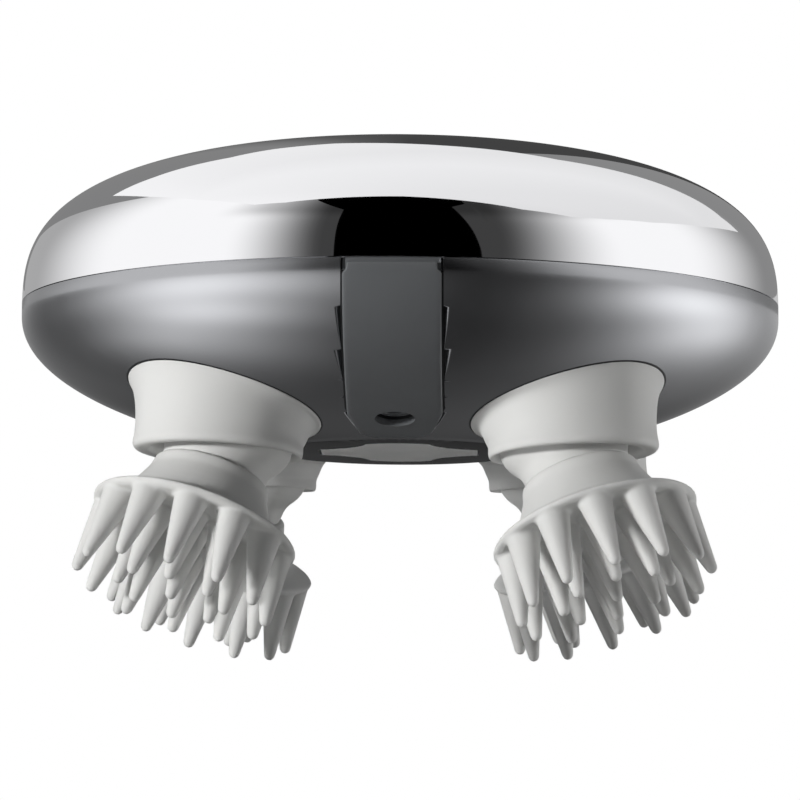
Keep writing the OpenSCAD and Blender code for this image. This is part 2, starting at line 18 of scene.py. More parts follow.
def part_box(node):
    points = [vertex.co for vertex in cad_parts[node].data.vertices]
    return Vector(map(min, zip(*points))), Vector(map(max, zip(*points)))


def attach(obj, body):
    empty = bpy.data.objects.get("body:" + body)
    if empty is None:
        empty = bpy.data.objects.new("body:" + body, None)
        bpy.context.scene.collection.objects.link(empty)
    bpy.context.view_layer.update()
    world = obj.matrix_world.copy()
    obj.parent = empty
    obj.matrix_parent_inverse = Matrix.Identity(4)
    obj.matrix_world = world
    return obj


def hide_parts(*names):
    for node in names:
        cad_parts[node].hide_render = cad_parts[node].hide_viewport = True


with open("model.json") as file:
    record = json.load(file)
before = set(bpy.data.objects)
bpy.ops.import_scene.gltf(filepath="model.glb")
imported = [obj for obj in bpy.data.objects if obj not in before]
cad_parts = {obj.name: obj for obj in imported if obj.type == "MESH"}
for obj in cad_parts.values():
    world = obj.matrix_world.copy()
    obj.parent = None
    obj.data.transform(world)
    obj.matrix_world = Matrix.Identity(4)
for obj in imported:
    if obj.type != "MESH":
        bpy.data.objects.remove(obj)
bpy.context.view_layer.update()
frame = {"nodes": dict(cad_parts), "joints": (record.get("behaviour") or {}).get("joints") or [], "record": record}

MM = 0.001
seam_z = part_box("upper_shell")[0].z
dome_top_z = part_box("upper_shell")[1].z
body_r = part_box("lower_shell")[1].x
print("seam at", round(seam_z / MM, 2), "mm, body radius", round(body_r / MM, 2), "mm")

# %% [markdown]
# ## The camera
# The photograph was taken from slightly below the body's widest plane, through a long lens. A long lens
# far away keeps the four heads almost equally large. The camera comes first, because every later choice
# is judged through it.

# %% Set the camera
SEAM_HEIGHT = 2.2 * MM            # the seam lies this far above the widest plane
widest_z = seam_z - SEAM_HEIGHT
CAMERA_DISTANCE = 0.8
CAMERA_BELOW = math.radians(7.3)  # how far the camera looks upward
CAMERA_ASIDE = math.radians(1.2)  # how far it stands to the right
CAMERA_ROLL = math.radians(0.35)
FOCAL_PIXELS = 4868               # focal length in pixels of an 800 pixel image
PICTURE = 800
CENTRE_SEEN_AT = Vector((399.6, 321.9))  # where the middle of the widest plane shows in the picture

body_centre = Vector((0, 0, widest_z))
forward = Vector((-math.sin(CAMERA_ASIDE) * math.cos(CAMERA_BELOW),
                  math.cos(CAMERA_ASIDE) * math.cos(CAMERA_BELOW),
                  math.sin(CAMERA_BELOW)))
camera_data = bpy.data.cameras.new("photo_camera")
camera_data.lens = FOCAL_PIXELS / PICTURE * camera_data.sensor_width
camera = bpy.data.objects.new("photo_camera", camera_data)
bpy.context.scene.collection.objects.link(camera)
camera.location = body_centre - forward * CAMERA_DISTANCE

drop = (PICTURE / 2 - CENTRE_SEEN_AT.y) / FOCAL_PIXELS     # the centre shows above the image's middle
aside = (CENTRE_SEEN_AT.x - PICTURE / 2) / FOCAL_PIXELS
looking = forward.to_track_quat("-Z", "Y").to_matrix()
tip = Matrix.Rotation(-drop, 3, "X") @ Matrix.Rotation(aside, 3, "Y") @ Matrix.Rotation(CAMERA_ROLL, 3, "Z")
camera.rotation_euler = (looking @ tip).to_euler()
camera_data.clip_start = 0.01
bpy.context.scene.camera = camera
print("lens", round(camera_data.lens), "mm, camera at", [round(v, 3) for v in camera.location])

# %% [markdown]
# ## Helpers for materials
# A finish is a small tree of shader nodes. One function adds a node with its settings and links, and one
# turns the hex colour that a painter would write into the linear values that light is counted in.

# %% Colour and node helpers
def hex_colour(text):
    """An sRGB hex value as linear red, green, blue and alpha."""
    channels = [int(text[i:i + 2], 16) / 255 for i in (1, 3, 5)]
    return tuple(c / 12.92 if c <= 0.04045 else ((c + 0.055) / 1.055) ** 2.4 for c in channels) + (1.0,)


def add_node(tree, kind, settings=None, inputs=None):
    """Adds a node. Inputs take a plain value, or another node's output to link from."""
    node = tree.nodes.new("ShaderNode" + kind)
    for name, value in (settings or {}).items():
        setattr(node, name, value)
    for name, value in (inputs or {}).items():
        socket = node.inputs[name]
        if isinstance(value, bpy.types.NodeSocket):
            tree.links.new(value, socket)
        else:
            socket.default_value = value
    return node


def new_material(name):
    """A material with only its output and Principled shader, the tree and the shader."""
    material = bpy.data.materials.new(name)
    material.use_nodes = True
    tree = material.node_tree
    return material, tree, tree.nodes["Principled BSDF"]


def set_shader(shader, **values):
    """Constants go on the shader's own sockets; an underscore stands for a space."""
    for name, value in values.items():
        shader.inputs[name.replace("_", " ")].default_value = value


# %% [markdown]
# ## Finishes
# Each pattern's scale is worked out from a real size: a noise of scale S has a grain of about 1/S metres
# in Object coordinates, so a grain of g millimetres needs a scale of 1000 / g.

# %% A finish with grain
def grained(name, colour, colour_2, grain_mm, bump_mm, roughness, roughness_2, **values):
    """A moulded or coated surface: two close colours, an uneven gloss and a fine relief."""
    material, tree, shader = new_material(name)
    place = add_node(tree, "TexCoord").outputs["Object"]
    grain = add_node(tree, "TexNoise", inputs={"Vector": place, "Scale": 1000 / grain_mm, "Detail": 3.0})
    cloud = add_node(tree, "TexNoise", inputs={
        "Vector": place, "Scale": 1000 / (grain_mm * 30), "Detail": 2.0})
    shade = add_node(tree, "Mix", {"data_type": "RGBA"}, {
        "Factor": cloud.outputs["Fac"], "A": hex_colour(colour), "B": hex_colour(colour_2)})
    gloss = add_node(tree, "MapRange", inputs={
        "Value": cloud.outputs["Fac"], "From Min": 0.3, "From Max": 0.7,
        "To Min": roughness, "To Max": roughness_2})
    relief = add_node(tree, "Bump", inputs={
        "Height": grain.outputs["Fac"], "Distance": bump_mm * MM, "Strength": 1.0})
    tree.links.new(shade.outputs["Result"], shader.inputs["Base Color"])
    tree.links.new(gloss.outputs["Result"], shader.inputs["Roughness"])
    tree.links.new(relief.outputs["Normal"], shader.inputs["Normal"])
    set_shader(shader, **values)
    return material


# %% The massager's finishes
FINISHES = {
    # vacuum-plated ABS: a mirror with the faint waviness of the moulding under it
    "chrome_shell": grained("vacuum_plated_abs", "#f8f8fa", "#f5f5f7", 4.0, 0.0004, 0.02, 0.035,
                            Metallic=1.0),
    # metallic lacquer over ABS: fine flakes make a soft, wide highlight
    "satin_shell": grained("satin_metallic_lacquer", "#b0b1b4", "#b3b4b7", 0.25, 0.0012, 0.2, 0.24,
                           Metallic=1.0),
    # spark-eroded ABS: matt, with a grain a few tenths of a millimetre wide
    "dark_strip": grained("spark_textured_abs", "#595b5d", "#5e6062", 0.3, 0.006, 0.46, 0.52, IOR=1.46),
    # silicone rubber from a matt mould: soft gloss, a little light passes under its skin
    "silicone": grained("liquid_silicone_rubber", "#dcdcda", "#d6d6d4", 0.5, 0.004, 0.38, 0.46,
                        IOR=1.41, Subsurface_Weight=0.05, Subsurface_Scale=0.0008,
                        Subsurface_Radius=(1.0, 0.95, 0.9)),
    # moulded white ABS with a soft gloss
    "star_plastic": grained("white_abs", "#f1f1ef", "#ededeb", 0.5, 0.001, 0.3, 0.36, IOR=1.53),
    "black_rubber": grained("black_silicone_rubber", "#1b1c1d", "#18191a", 0.4, 0.006, 0.6, 0.7, IOR=1.41),
    "black_plastic": grained("black_nylon", "#2a2b2d", "#303134", 0.3, 0.002, 0.28, 0.36, IOR=1.53),
    "satin_button": grained("silver_lacquer", "#c4c6c9", "#bcbec1", 0.25, 0.001, 0.3, 0.36, Metallic=1.0),
    "gold_contact": grained("gold_flashed_contact", "#d9b765", "#cfa953", 0.2, 0.0005, 0.18, 0.25,
                            Metallic=1.0),
    "steel": grained("zinc_plated_steel", "#c3c6ca", "#b4b8be", 0.2, 0.001, 0.3, 0.4, Metallic=1.0),
    "crank_metal": grained("sintered_steel", "#8f9398", "#82868b", 0.15, 0.004, 0.45, 0.55, Metallic=1.0),
    "acetal": grained("natural_acetal", "#e8e4d8", "#e2dece", 0.8, 0.002, 0.32, 0.4, IOR=1.48),
    "frame_plastic": grained("glass_filled_nylon", "#3f4245", "#383a3d", 0.4, 0.008, 0.5, 0.62, IOR=1.53),
    "cell_sleeve": grained("pvc_shrink_sleeve", "#3f78b8", "#3a70ae", 0.6, 0.002, 0.25, 0.32, IOR=1.54),
    "board": grained("green_solder_mask", "#1f6b43", "#1b6039", 0.5, 0.003, 0.3, 0.4, IOR=1.5),
}
slot_of_node = {part["node"]: part["material_slot"] for part in frame["record"]["subparts"]}
for node_name, node_object in frame["nodes"].items():
    for material_slot in node_object.material_slots:
        material_slot.material = FINISHES[slot_of_node[node_name]]
    node_object.visible_glossy = False     # the inner parts stay out of the shells' mirror images
print(len(FINISHES), "finishes on", len(slot_of_node), "parts")

# %% [markdown]
# ## Helpers for modelling
# Almost everything on this object is turned, so the main tool is the spin operator. An outline is drawn
# from point to point by extruding one vertex, as a pencil line is drawn, and is then spun round Z.
# Before each primitive everything is deselected, because an operator acts on all that is selected.

# %% Draw an outline, spin it, dress it
def flat_point(r, z):
    """A point of an outline: r from the axis, z above the table, both in metres."""
    return Vector((r, 0, z))


def start_piece(name):
    """The primitive that was just added gets its name and its place goes into its mesh."""
    piece = bpy.context.object
    piece.name = piece.data.name = name
    bpy.ops.object.transform_apply(location=True, rotation=True, scale=True)
    return piece


def edit_all():
    bpy.ops.object.mode_set(mode="EDIT")
    bpy.ops.mesh.select_all(action="SELECT")


def clean_mesh():
    """Merges doubles, at seams and poles, and turns the faces outward. Leaves edit mode."""
    bpy.ops.mesh.select_all(action="SELECT")
    bpy.ops.mesh.remove_doubles(threshold=0.002 * MM)
    bpy.ops.mesh.dissolve_degenerate(threshold=0.001 * MM)
    bpy.ops.mesh.select_all(action="SELECT")
    bpy.ops.mesh.normals_make_consistent(inside=False)
    bpy.ops.object.mode_set(mode="OBJECT")


def ease(low, high, value):
    """A smooth step from 0 at low to 1 at high; low may be the larger one."""
    t = min(max((value - low) / (high - low), 0), 1)
    return t * t * (3 - 2 * t)


def turned(name, outline, steps):
    """Spins a closed outline round Z."""
    bpy.ops.object.select_all(action="DESELECT")
    bpy.ops.mesh.primitive_plane_add(size=MM, location=outline[0])
    piece = start_piece(name)
    edit_all()
    bpy.ops.mesh.merge(type="CENTER")
    for here, there in zip(outline, outline[1:] + outline[:1]):
        bpy.ops.mesh.extrude_region_move(TRANSFORM_OT_translate={"value": there - here})
    bpy.ops.mesh.select_all(action="SELECT")
    bpy.ops.mesh.spin(steps=steps, angle=math.tau, center=(0, 0, 0), axis=(0, 0, 1))
    clean_mesh()
    return piece


def apply_modifier(piece, kind, **settings):
    """Adds a modifier with its settings and applies it."""
    bpy.context.view_layer.objects.active = piece
    modifier = piece.modifiers.new(kind.lower(), kind)
    for name, value in settings.items():
        setattr(modifier, name, value)
    bpy.ops.object.modifier_apply(modifier=modifier.name)


def cut_away(piece, cutter):
    """Takes the cutter's shape out of the piece and removes the cutter."""
    apply_modifier(piece, "BOOLEAN", operation="DIFFERENCE", object=cutter, solver="EXACT")
    bpy.data.objects.remove(cutter)


def dress(piece, finish, body, nodes, angle=30):
    """Smooth shading, the finish, the body it moves with and the parts it stands for."""
    bpy.ops.object.select_all(action="DESELECT")
    piece.select_set(True)
    bpy.context.view_layer.objects.active = piece
    bpy.ops.object.shade_smooth_by_angle(angle=math.radians(angle))
    piece.data.materials.clear()
    piece.data.materials.append(FINISHES[finish])
    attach(piece, body)
    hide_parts(*nodes)
    piece.visible_glossy = finish != "silicone"        # the photo's bowl doesn't mirror the heads
    print(piece.name, len(piece.data.vertices), "vertices, rides on", body)
    return piece


# %% [markdown]
# ## The chrome dome
# The dome is one vacuum-plated moulding. Its outline is a superellipse: flatter on top than a circle and
# fuller at the shoulder. A mirror shows every facet, so the outline has many points and the spin many
# steps, and the seam's edge has a small rounding that catches a line of light.

# %% Turn the dome
DOME_POWERS = (2.6, 3.05)        # (r / R) ^ n + (z / h) ^ m = 1
BOWL_POWERS = (1.6, 2.1)
BOWL_HEIGHT = 23.5 * MM
WALL = 2.2 * MM
EDGE = 0.2 * MM
SEAM_GAP = 0.17 * MM              # the thin shadow line between the shells
SEAM_GAP_DEEP = 0.7 * MM
BUTTON_SEAT_R = 8.3 * MM
BUTTON_SEAT_DEPTH = 0.85 * MM
BUTTON_HOLE_R = 7.16 * MM
BUTTON_PROUD = 0.35 * MM          # how far the button stands above the dome
TURN_STEPS = 256                  # steps of the spin for every large turned face
dome_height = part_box("power_button")[1].z - BUTTON_PROUD - widest_z


def dome_radius(z, inset=0.0):
    n, m = DOME_POWERS
    return (body_r - inset) * (1 - (z / (dome_height - inset)) ** m) ** (1 / n)


def dome_level(r, inset=0.0):
    n, m = DOME_POWERS
    return (dome_height - inset) * (1 - (r / (body_r - inset)) ** n) ** (1 / m)


def bowl_level(r):
    n, m = BOWL_POWERS
    return -BOWL_HEIGHT * (1 - min(r / body_r, 1) ** n) ** (1 / m)


def dome_line(low_z, end_r, steps, inset=0.0):
    """Points of the dome's outline from a height up to a radius near the top."""
    n, m = DOME_POWERS
    radius, height = body_r - inset, dome_height - inset
    start = math.asin((low_z / height) ** (m / 2))
    end = math.acos((end_r / radius) ** (n / 2))
    angles = [start + (end - start) * i / steps for i in range(steps + 1)]
    return [flat_point(radius * math.cos(t) ** (2 / n), widest_z + height * math.sin(t) ** (2 / m))
            for t in angles]


seam_r = dome_radius(SEAM_HEIGHT)
seat_z = widest_z + dome_level(BUTTON_SEAT_R)
dome_outline = (
    dome_line(SEAM_HEIGHT, BUTTON_SEAT_R, 110)
    + [flat_point(BUTTON_SEAT_R - 0.3 * EDGE, seat_z - 0.3 * EDGE),
       flat_point(BUTTON_SEAT_R - 0.3 * EDGE, seat_z - BUTTON_SEAT_DEPTH),
       flat_point(BUTTON_HOLE_R, seat_z - BUTTON_SEAT_DEPTH)]
    + dome_line(SEAM_HEIGHT, BUTTON_HOLE_R, 30, WALL)[::-1]
)
dome = turned("chrome_dome", dome_outline, TURN_STEPS)
dress(dome, "chrome_shell", "housing", ["upper_shell"])

# %% [markdown]
# ## The satin bowl
# The bowl is turned as well, with a flat underside. What the real mould cuts into it is then cut here:
# four holes for the boots, the shallow bed of the front strip and the pocket of the star plate.

# %% Turn the bowl
FLAT_DEPTH = 21.6 * MM
flat_z = widest_z - FLAT_DEPTH


def bowl_line(end_z, steps, top_z=0.0):
    """Points of the bowl's outline from its flat underside up to the widest plane."""
    n, m = BOWL_POWERS
    start = math.asin((-end_z / BOWL_HEIGHT) ** (m / 2))
    angles = [start * (1 - i / steps) for i in range(steps + 1)]
    return [flat_point(body_r * math.cos(t) ** (2 / n), widest_z - BOWL_HEIGHT * math.sin(t) ** (2 / m))
            for t in angles]


bowl_outer = bowl_line(-FLAT_DEPTH + 0.25 * MM, 90)
flat_r = bowl_outer[0].x
bowl_inner = [flat_point(p.x * (1 - WALL / body_r), widest_z + (p.z - widest_z) * (1 - WALL / BOWL_HEIGHT))
              for p in bowl_outer[::3]]
bowl_outline = (
    [flat_point(0, flat_z), flat_point(flat_r - 1.2 * MM, flat_z),
     flat_point(flat_r - 0.5 * MM, flat_z + 0.08 * MM)]
    + bowl_outer
    + [flat_point(body_r, seam_z - SEAM_GAP), flat_point(seam_r - SEAM_GAP_DEEP, seam_z - SEAM_GAP),
       flat_point(seam_r - SEAM_GAP_DEEP, seam_z), flat_point(seam_r - WALL, seam_z)]
    + bowl_inner[::-1]
    + [flat_point(0, bowl_inner[0].z)]
)
bowl = turned("satin_bowl", bowl_outline, TURN_STEPS)

# %% [markdown]
# The cutters are primitives, shaped a little and then taken away by a Boolean modifier. The heads' joints
# in the frame give the four stations, so the holes can't miss their heads.

# %% Cut the bowl
STATION_HOLE_R = 12.55 * MM
HOLE_CUTTER_LENGTH = 24 * MM      # long enough to pass through the bowl's wall at every station
HOLE_CUTTER_BELOW = 14 * MM       # how far the cutter's middle lies below the widest plane
GROOVE = 0.4 * MM
STRIP_T = 1.2 * MM
pivots = {}
for joint in frame["joints"]:
    if joint["name"].startswith("head_"):
        head_number = int(joint["name"].split("_")[1])
        pivots[head_number] = (Vector(joint["pos_m"]), Vector(joint["axis"]).normalized())


def node_copy(name, node, flat=False):
    """A piece that starts from a frame part's own mesh, merged, and with whole flat faces."""
    piece = bpy.data.objects.new(name, frame["nodes"][node].data.copy())
    piece.data.name = name
    bpy.context.scene.collection.objects.link(piece)
    bpy.ops.object.select_all(action="DESELECT")
    piece.select_set(True)
    bpy.context.view_layer.objects.active = piece
    edit_all()
    bpy.ops.mesh.remove_doubles(threshold=0.002 * MM)
    if flat:
        bpy.ops.mesh.dissolve_limited(angle_limit=math.radians(0.5))
    bpy.ops.object.mode_set(mode="OBJECT")
    return piece


STAR_GAP = 0.18 * MM
star_pocket = node_copy("star_pocket", "star_plate", True)
star_low, star_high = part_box("star_plate")
for vertex in star_pocket.data.vertices:
    vertex.co.x *= 1 + STAR_GAP / star_high.x
    vertex.co.y *= 1 + STAR_GAP / star_high.y
    vertex.co.z = flat_z - MM if vertex.co.z < (star_low.z + star_high.z) / 2 else star_high.z
cut_away(bowl, star_pocket)

for k, (pivot, axis) in pivots.items():
    bpy.ops.object.select_all(action="DESELECT")
    bpy.ops.mesh.primitive_cylinder_add(vertices=96, radius=STATION_HOLE_R, depth=HOLE_CUTTER_LENGTH,
                                        location=(pivot.x, pivot.y, widest_z - HOLE_CUTTER_BELOW))
    cut_away(bowl, start_piece("hole_cutter"))

STRIP_W = 14.9 * MM
STRIP_END = 24.6 * MM
STRIP_TAPER_AT = 35.0 * MM
STRIP_TAPER = 1.7 * MM
STRIP_CORNER = 2.6 * MM


def strip_plan(grow):
    """The strip's outline seen from above, from its lower end to far outside the body."""
    half = STRIP_W / 2 + grow
    narrow = half - STRIP_TAPER
    end = -STRIP_END + grow
    corner = STRIP_CORNER + grow
    turn = [math.radians(a) for a in range(0, 91, 15)]
    right = [(half, -1.2 * body_r), (half, -STRIP_TAPER_AT)]
    right += [(narrow - corner + corner * math.cos(a), end - corner + corner * math.sin(a)) for a in turn]
    return right + [(-x, y) for x, y in reversed(right)]


def prism(name, plan, low, high):
    """A plan drawn as a face by extruding a vertex round it, then extruded upward."""
    corners = [Vector((x, y, low)) for x, y in plan]
    bpy.ops.object.select_all(action="DESELECT")
    bpy.ops.mesh.primitive_plane_add(size=MM, location=corners[0])
    piece = start_piece(name)
    edit_all()
    bpy.ops.mesh.merge(type="CENTER")
    for here, there in zip(corners, corners[1:] + corners[:1]):
        bpy.ops.mesh.extrude_region_move(TRANSFORM_OT_translate={"value": there - here})
    bpy.ops.mesh.select_all(action="SELECT")
    bpy.ops.mesh.remove_doubles(threshold=0.002 * MM)
    bpy.ops.mesh.edge_face_add()
    bpy.ops.mesh.extrude_region_move(TRANSFORM_OT_translate={"value": Vector((0, 0, high - low))})
    clean_mesh()
    return piece


def sunk_core(name, depth):
    """The body's own form, made smaller, that keeps a bed from cutting deeper than its depth."""
    shrink = 1 - depth / body_r
    flatten = 1 - depth / BOWL_HEIGHT
    core = [flat_point(p.x * shrink, widest_z + (p.z - widest_z) * flatten) for p in bowl_outer]
    top = [flat_point(core[-1].x, seam_z + MM), flat_point(0, seam_z + MM)]
    return turned(name, [flat_point(0, core[0].z)] + core + top, TURN_STEPS)


strip_bed = prism("strip_bed", strip_plan(GROOVE), flat_z - MM, seam_z + 2 * MM)
cut_away(strip_bed, sunk_core("core", STRIP_T))
cut_away(bowl, strip_bed)
dress(bowl, "satin_shell", "housing", ["lower_shell"])
apply_modifier(bowl, "WEIGHTED_NORMAL", mode="FACE_AREA", keep_sharp=True)

# %% [markdown]
# ## The front strip
# The strip is a thin moulding that follows the bowl. A grid is laid onto the bowl's own formula, so its
# lines run with the curve, and Solidify and Bevel give it its thickness and its rounded edges. The wall
# grows outward, so the strip stands proud of the bowl. A wider, sunk copy is the gasket in its bed.

# %% Lay the strip on the bowl
STRIP_EDGE = 0.3 * MM
STRIP_ACROSS = 16
STRIP_ALONG = 72


def strip_half_width(y):
    """Half the strip's width at a distance y in front of the axis."""
    half, narrow = STRIP_W / 2, STRIP_W / 2 - STRIP_TAPER
    corner_y = STRIP_END + STRIP_CORNER
    if y >= STRIP_TAPER_AT:
        return half
    if y >= corner_y:
        return narrow + (half - narrow) * (y - corner_y) / (STRIP_TAPER_AT - corner_y)
    return narrow - STRIP_CORNER + math.sqrt(max(STRIP_CORNER ** 2 - (corner_y - y) ** 2, 0))


def on_bowl(x, y):
    """The bowl's surface below a place in plan."""
    return Vector((x, -y, widest_z + bowl_level(math.hypot(x, y))))


def lay_on_bowl(name, grow, sunk, thickness):
    """A moulding that follows the bowl: grow is how much wider it is, sunk how deep it lies."""
    bpy.ops.object.select_all(action="DESELECT")
    bpy.ops.mesh.primitive_grid_add(x_subdivisions=STRIP_ACROSS, y_subdivisions=STRIP_ALONG, size=2)
    piece = start_piece(name)
    end = STRIP_END - grow
    for vertex in piece.data.vertices:
        u, v = vertex.co.x, (vertex.co.y + 1) / 2      # u across from -1 to 1, v from the end to the seam
        y = end + 0.02 * MM + (seam_r - end) * math.sin(v ** 0.8 * math.pi / 2)
        x = u * (strip_half_width(max(y, STRIP_END)) + grow)
        if v > 0.6:                                    # near the seam the lines follow the round body
            follow = ease(0.6, 0.9, v)
            y = y + (math.sqrt(y * y - x * x) - y) * follow
        place = on_bowl(x, y)
        place.x *= 1 - sunk / body_r
        place.y *= 1 - sunk / body_r
        place.z = widest_z + (place.z - widest_z) * (1 - sunk / BOWL_HEIGHT)
        vertex.co = place
    top_row = max(v.co.z for v in piece.data.vertices) - 0.01 * MM
    for edge in piece.data.edges:
        edge.select = min(piece.data.vertices[i].co.z for i in edge.vertices) > top_row
    for face in piece.data.polygons:
        face.select = False
    for vertex in piece.data.vertices:
        vertex.select = vertex.co.z > top_row
    bpy.ops.object.mode_set(mode="EDIT")
    bpy.ops.mesh.select_mode(type="EDGE")
    rise = seam_z - SEAM_GAP - top_row - 0.01 * MM
    bpy.ops.mesh.extrude_region_move(TRANSFORM_OT_translate={"value": Vector((0, 0, rise))})
    bpy.ops.mesh.select_mode(type="VERT")
    clean_mesh()
    apply_modifier(piece, "SOLIDIFY", thickness=thickness, offset=-1.0)
    return piece


GASKET_SUNK = 0.55 * MM
strip = lay_on_bowl("strip_cover", 0.0, 0.0, STRIP_T - 0.05 * MM)
apply_modifier(strip, "BEVEL", width=STRIP_EDGE, segments=3, limit_method="ANGLE",
               angle_limit=math.radians(50), use_clamp_overlap=False)
gasket = lay_on_bowl("strip_gasket", GROOVE - 0.01 * MM, GASKET_SUNK, STRIP_T - GASKET_SUNK - 0.1 * MM)
SOCKET_AT = 34.0 * MM
SOCKET_HOLE_R = 3.2 * MM
rise = bowl_level(SOCKET_AT + MM) - bowl_level(SOCKET_AT - MM)
socket_slope = math.atan(rise / (2 * MM))
bpy.ops.object.select_all(action="DESELECT")
bpy.ops.mesh.primitive_cylinder_add(vertices=64, radius=SOCKET_HOLE_R, depth=8 * MM,
                                    location=on_bowl(0, SOCKET_AT), rotation=(-socket_slope, 0, 0))
hole = start_piece("socket_hole")
apply_modifier(gasket, "BOOLEAN", operation="DIFFERENCE", object=hole, solver="EXACT")
cut_away(strip, hole)
dress(strip, "dark_strip", "housing", ["front_strip"], 40)
dress(gasket, "black_rubber", "housing", ["front_strip"], 40)

# %% [markdown]
# ## The small rigid parts
# The star plate, the charging socket, the button and its ring have the right shape in the frame. What
# they lack are the small edge roundings that catch a line of light, so each is copied and bevelled.

# %% Bevel the small parts
ROUNDED = [                        # name, part, finish, body, rounding in mm, flat faces are made whole
    ("star_cover", "star_plate", "star_plastic", "housing", 0.22, True),
    ("socket_collar", "charge_socket", "dark_strip", "housing", 0.1, False),
    ("button_bezel", "button_ring", "black_plastic", "housing", 0.12, False),
    ("button_cap", "power_button", "satin_button", "power_button", 0.2, False),
]
for name, node, finish, body, rounding, flat in ROUNDED:
    piece = node_copy(name, node, flat)
    apply_modifier(piece, "BEVEL", width=rounding * MM, segments=3, limit_method="ANGLE",
                   angle_limit=math.radians(40))
    if name == "star_cover":                        # its face lies flush with the bowl's underside
        for vertex in piece.data.vertices:
            if vertex.co.z < (star_low.z + star_high.z) / 2:
                vertex.co.z -= star_low.z - flat_z
    dress(piece, finish, body, [node], 35)

# %% [markdown]
# ## The boots
# A boot is a short silicone trumpet that closes the gap between the bowl and a moving neck. Its mouth
# lies on the sloping bowl and its rim is square to the pivot, so it is spun as a plain tube first. Then
# each ring is placed between the rim's plane and the bowl: a share s of 0 is the rim, 1 is the bowl.

# %% Shape a boot
RIM_DROP = 2.4 * MM
BOOT_LEAN = math.radians(4)
BOOT_STEPS = 64
SHARE_SPREAD = 10                 # mm of height that stand for a share of 1 while a wall is a plain tube
RIM_SHIFT = 1.3                   # the rim stands this many mm further out than the waist
LIP_R = 11.4                      # the rim's inner edge, which doesn't shift
# radius in mm, share of the way up to the bowl, extra height in mm
BOOT_WALL = [
    (11.3, 0.45, 0.0), (11.35, 0.15, 0.8), (11.4, 0.0, 1.4), (11.55, 0.0, 0.6), (12.05, 0.0, 0.1),
    (12.75, 0.0, 0.0), (13.2, 0.0, 0.12), (13.45, 0.0, 0.5), (13.55, 0.0, 1.1), (13.4, 0.06, 1.5),
    (13.42, 0.3, 0.6), (13.6, 0.52, 0.0), (13.85, 0.7, 0.0), (14.25, 0.84, 0.0), (14.75, 0.93, -0.05), (15.15, 1.0, -0.42),
    (15.35, 1.0, -0.12), (15.3, 1.0, 0.06), (14.6, 1.0, 0.1), (12.4, 1.0, 0.3), (11.6, 0.8, 0.3),
]
# a thin black bead round the mouth is painted contact shadow: it draws the boot's outline on the bowl, whose satin
# metal shows no shade there of its own
CONTACT_SHADOW_BEAD = [(15.0, 1.0, 0.15), (15.0, 1.0, -0.1), (15.5, 1.0, -0.08), (15.6, 1.0, 0.0), (15.6, 1.0, 0.15)]


def boot_rings(k, name, wall):
    """Spins a wall and puts each ring between the rim's plane and the bowl."""
    pivot, _ = pivots[k]
    outward = Vector((pivot.x, pivot.y, 0)).normalized()
    outline = [flat_point(r * MM, share * SHARE_SPREAD * MM + rise * MM) for r, share, rise in wall]
    piece = turned(name, outline, BOOT_STEPS)
    rings = {(round(r, 3), round(share * SHARE_SPREAD + rise, 3)): (share, rise)
             for r, share, rise in wall}
    for vertex in piece.data.vertices:
        r = math.hypot(vertex.co.x, vertex.co.y)
        share, rise = rings[(round(r / MM, 3), round(vertex.co.z / MM, 3))]
        place = Vector((pivot.x + vertex.co.x, pivot.y + vertex.co.y, 0))
        along = (place - Vector((pivot.x, pivot.y, 0))).dot(outward)
        rim_level = pivot.z - RIM_DROP + along * math.tan(BOOT_LEAN)
        bowl_here = widest_z + max(bowl_level(math.hypot(place.x, place.y)), -FLAT_DEPTH)
        place += outward * (1 - share) * RIM_SHIFT * max(r - LIP_R * MM, 0) / 2
        place.z = rim_level + (bowl_here - rim_level) * share + rise * MM
        vertex.co = place
    return piece


def boot_piece(k):
    piece = boot_rings(k, "boot_%d_skin" % k, BOOT_WALL)
    apply_modifier(piece, "SUBSURF", levels=2, render_levels=2)
    silicone_faces = len(piece.data.polygons)
    # the bead is painted contact shadow: a black ring where the boot meets the bowl
    shadow_bead = boot_rings(k, "boot_%d_bead" % k, CONTACT_SHADOW_BEAD)
    bpy.ops.object.select_all(action="DESELECT")
    shadow_bead.select_set(True)
    piece.select_set(True)
    bpy.context.view_layer.objects.active = piece
    bpy.ops.object.join()
    dress(piece, "silicone", "housing", ["boot_%d" % k], 60)
    # the bead's faces take the black finish that paints the contact shadow
    piece.data.materials.append(FINISHES["black_rubber"])
    for polygon in list(piece.data.polygons)[silicone_faces:]:
        polygon.material_index = 1


for k in pivots:
    boot_piece(k)

# %% [markdown]
# ## The massage heads
# A head is one silicone moulding: a cup, a thin flange and three rings of tines. On the real piece every
# tine runs into the flange with a soft fillet. The pieces are joined as rough solids, one voxel remesh
# melts them into one skin, and a smoothing pass draws the fillets, as the toolmaker's radii do.

# %% Model one head, upright, with its pivot at the origin
CUP_TOP = 6.3                     # distances below the pivot and radii, in mm
CUP_LOW = 14.2
FLANGE_LOW = 16.2
FLANGE_R = 16.6
TINE_LENGTH = 12.0
TINE_ROOT_R = 2.75
TINE_TIP_R = 0.95
TINE_RINGS = [(12, 13.6, 15.0, 9.5), (8, 7.7, 0.0, 5.0), (1, 0.0, 0.0, 0.0)]  # count, radius, turn, splay
VOXEL = 0.3 * MM

